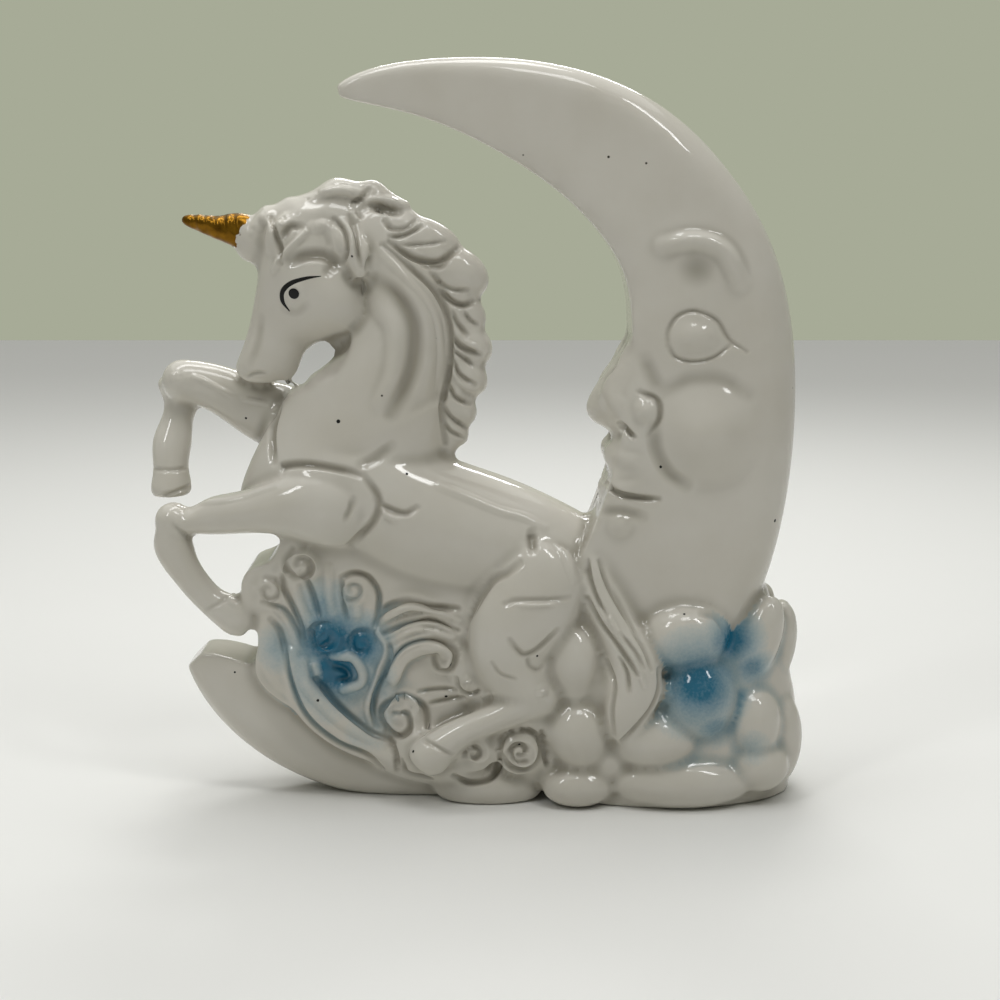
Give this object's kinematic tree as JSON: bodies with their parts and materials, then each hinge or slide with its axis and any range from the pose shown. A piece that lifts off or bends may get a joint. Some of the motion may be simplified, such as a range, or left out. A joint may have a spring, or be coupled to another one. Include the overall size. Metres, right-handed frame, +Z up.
{
  "type": "unicorn figurine",
  "caption": "Glazed porcelain figurine: a rearing unicorn with a gilt horn over scrolls and cloud puffs, in front of a crescent moon with a face in profile.",
  "frame": {"origin": "middle of the footprint's bounding box, on the surface the figurine stands on", "axes": "+Z up, -Y towards the side seen in the picture, the unicorn looks along -X"},
  "size_m": [0.1354, 0.0352, 0.1502],
  "materials": {
    "white_glaze": "gloss white glaze with airbrushed blue",
    "gilt": "antique gold lustre over glaze"
  },
  "bodies": {
    "root": {"crescent_moon": "white_glaze", "cloud_base": "white_glaze", "cloud_puffs_near": "white_glaze", "cloud_puffs_far": "white_glaze", "scroll_bank": "white_glaze", "scroll_curls_near": "white_glaze", "scroll_curls_far": "white_glaze", "scroll_leaves_near": "white_glaze", "scroll_leaves_far": "white_glaze", "wave_crest_near": "white_glaze", "wave_crest_far": "white_glaze", "foot_scrolls_near": "white_glaze", "foot_scrolls_far": "white_glaze", "unicorn_torso": "white_glaze", "unicorn_neck": "white_glaze", "unicorn_head": "white_glaze", "horn": "gilt", "forelock": "white_glaze", "mane": "white_glaze", "foreleg_near": "white_glaze", "foreleg_far": "white_glaze", "hind_leg_near": "white_glaze", "hind_leg_far": "white_glaze", "tail": "white_glaze"}
  },
  "joints": []
}
